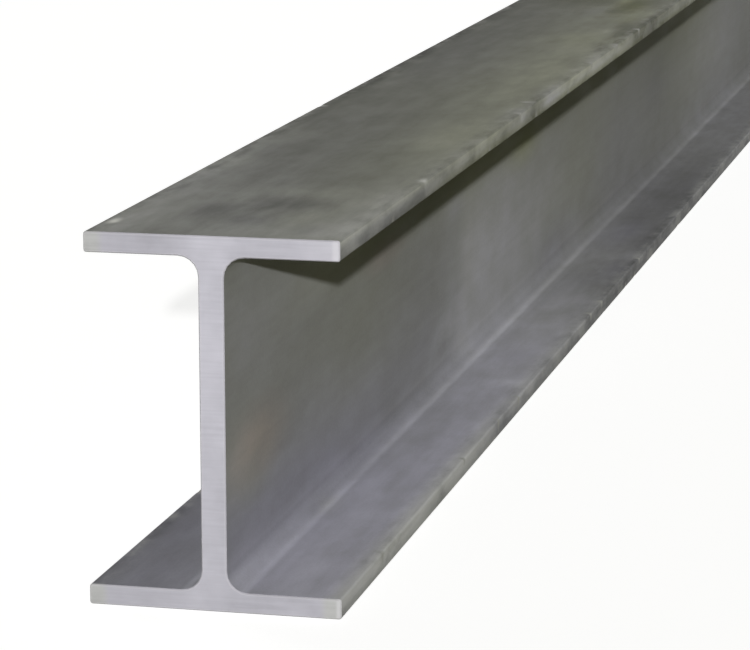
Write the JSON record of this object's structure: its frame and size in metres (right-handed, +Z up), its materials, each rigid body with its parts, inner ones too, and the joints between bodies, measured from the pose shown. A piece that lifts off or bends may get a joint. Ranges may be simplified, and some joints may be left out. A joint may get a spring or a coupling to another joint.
{
  "type": "stainless steel h-beam",
  "caption": "Parallel-flange H-section steel beam, a straight sawn length of framing stock, solid throughout, lying on its lower flange.",
  "frame": {"origin": "middle of the underside, on the floor that the beam lies on", "axes": "+X along the beam, away from the sawn end that the picture shows; +Y across the flanges; +Z up through the web"},
  "size_m": [2, 0.1, 0.146],
  "materials": {
    "stainless_steel": "matte, hot rolled and pickled, sawn ends brighter"
  },
  "bodies": {
    "root": {"h_beam": "stainless_steel"}
  },
  "joints": []
}
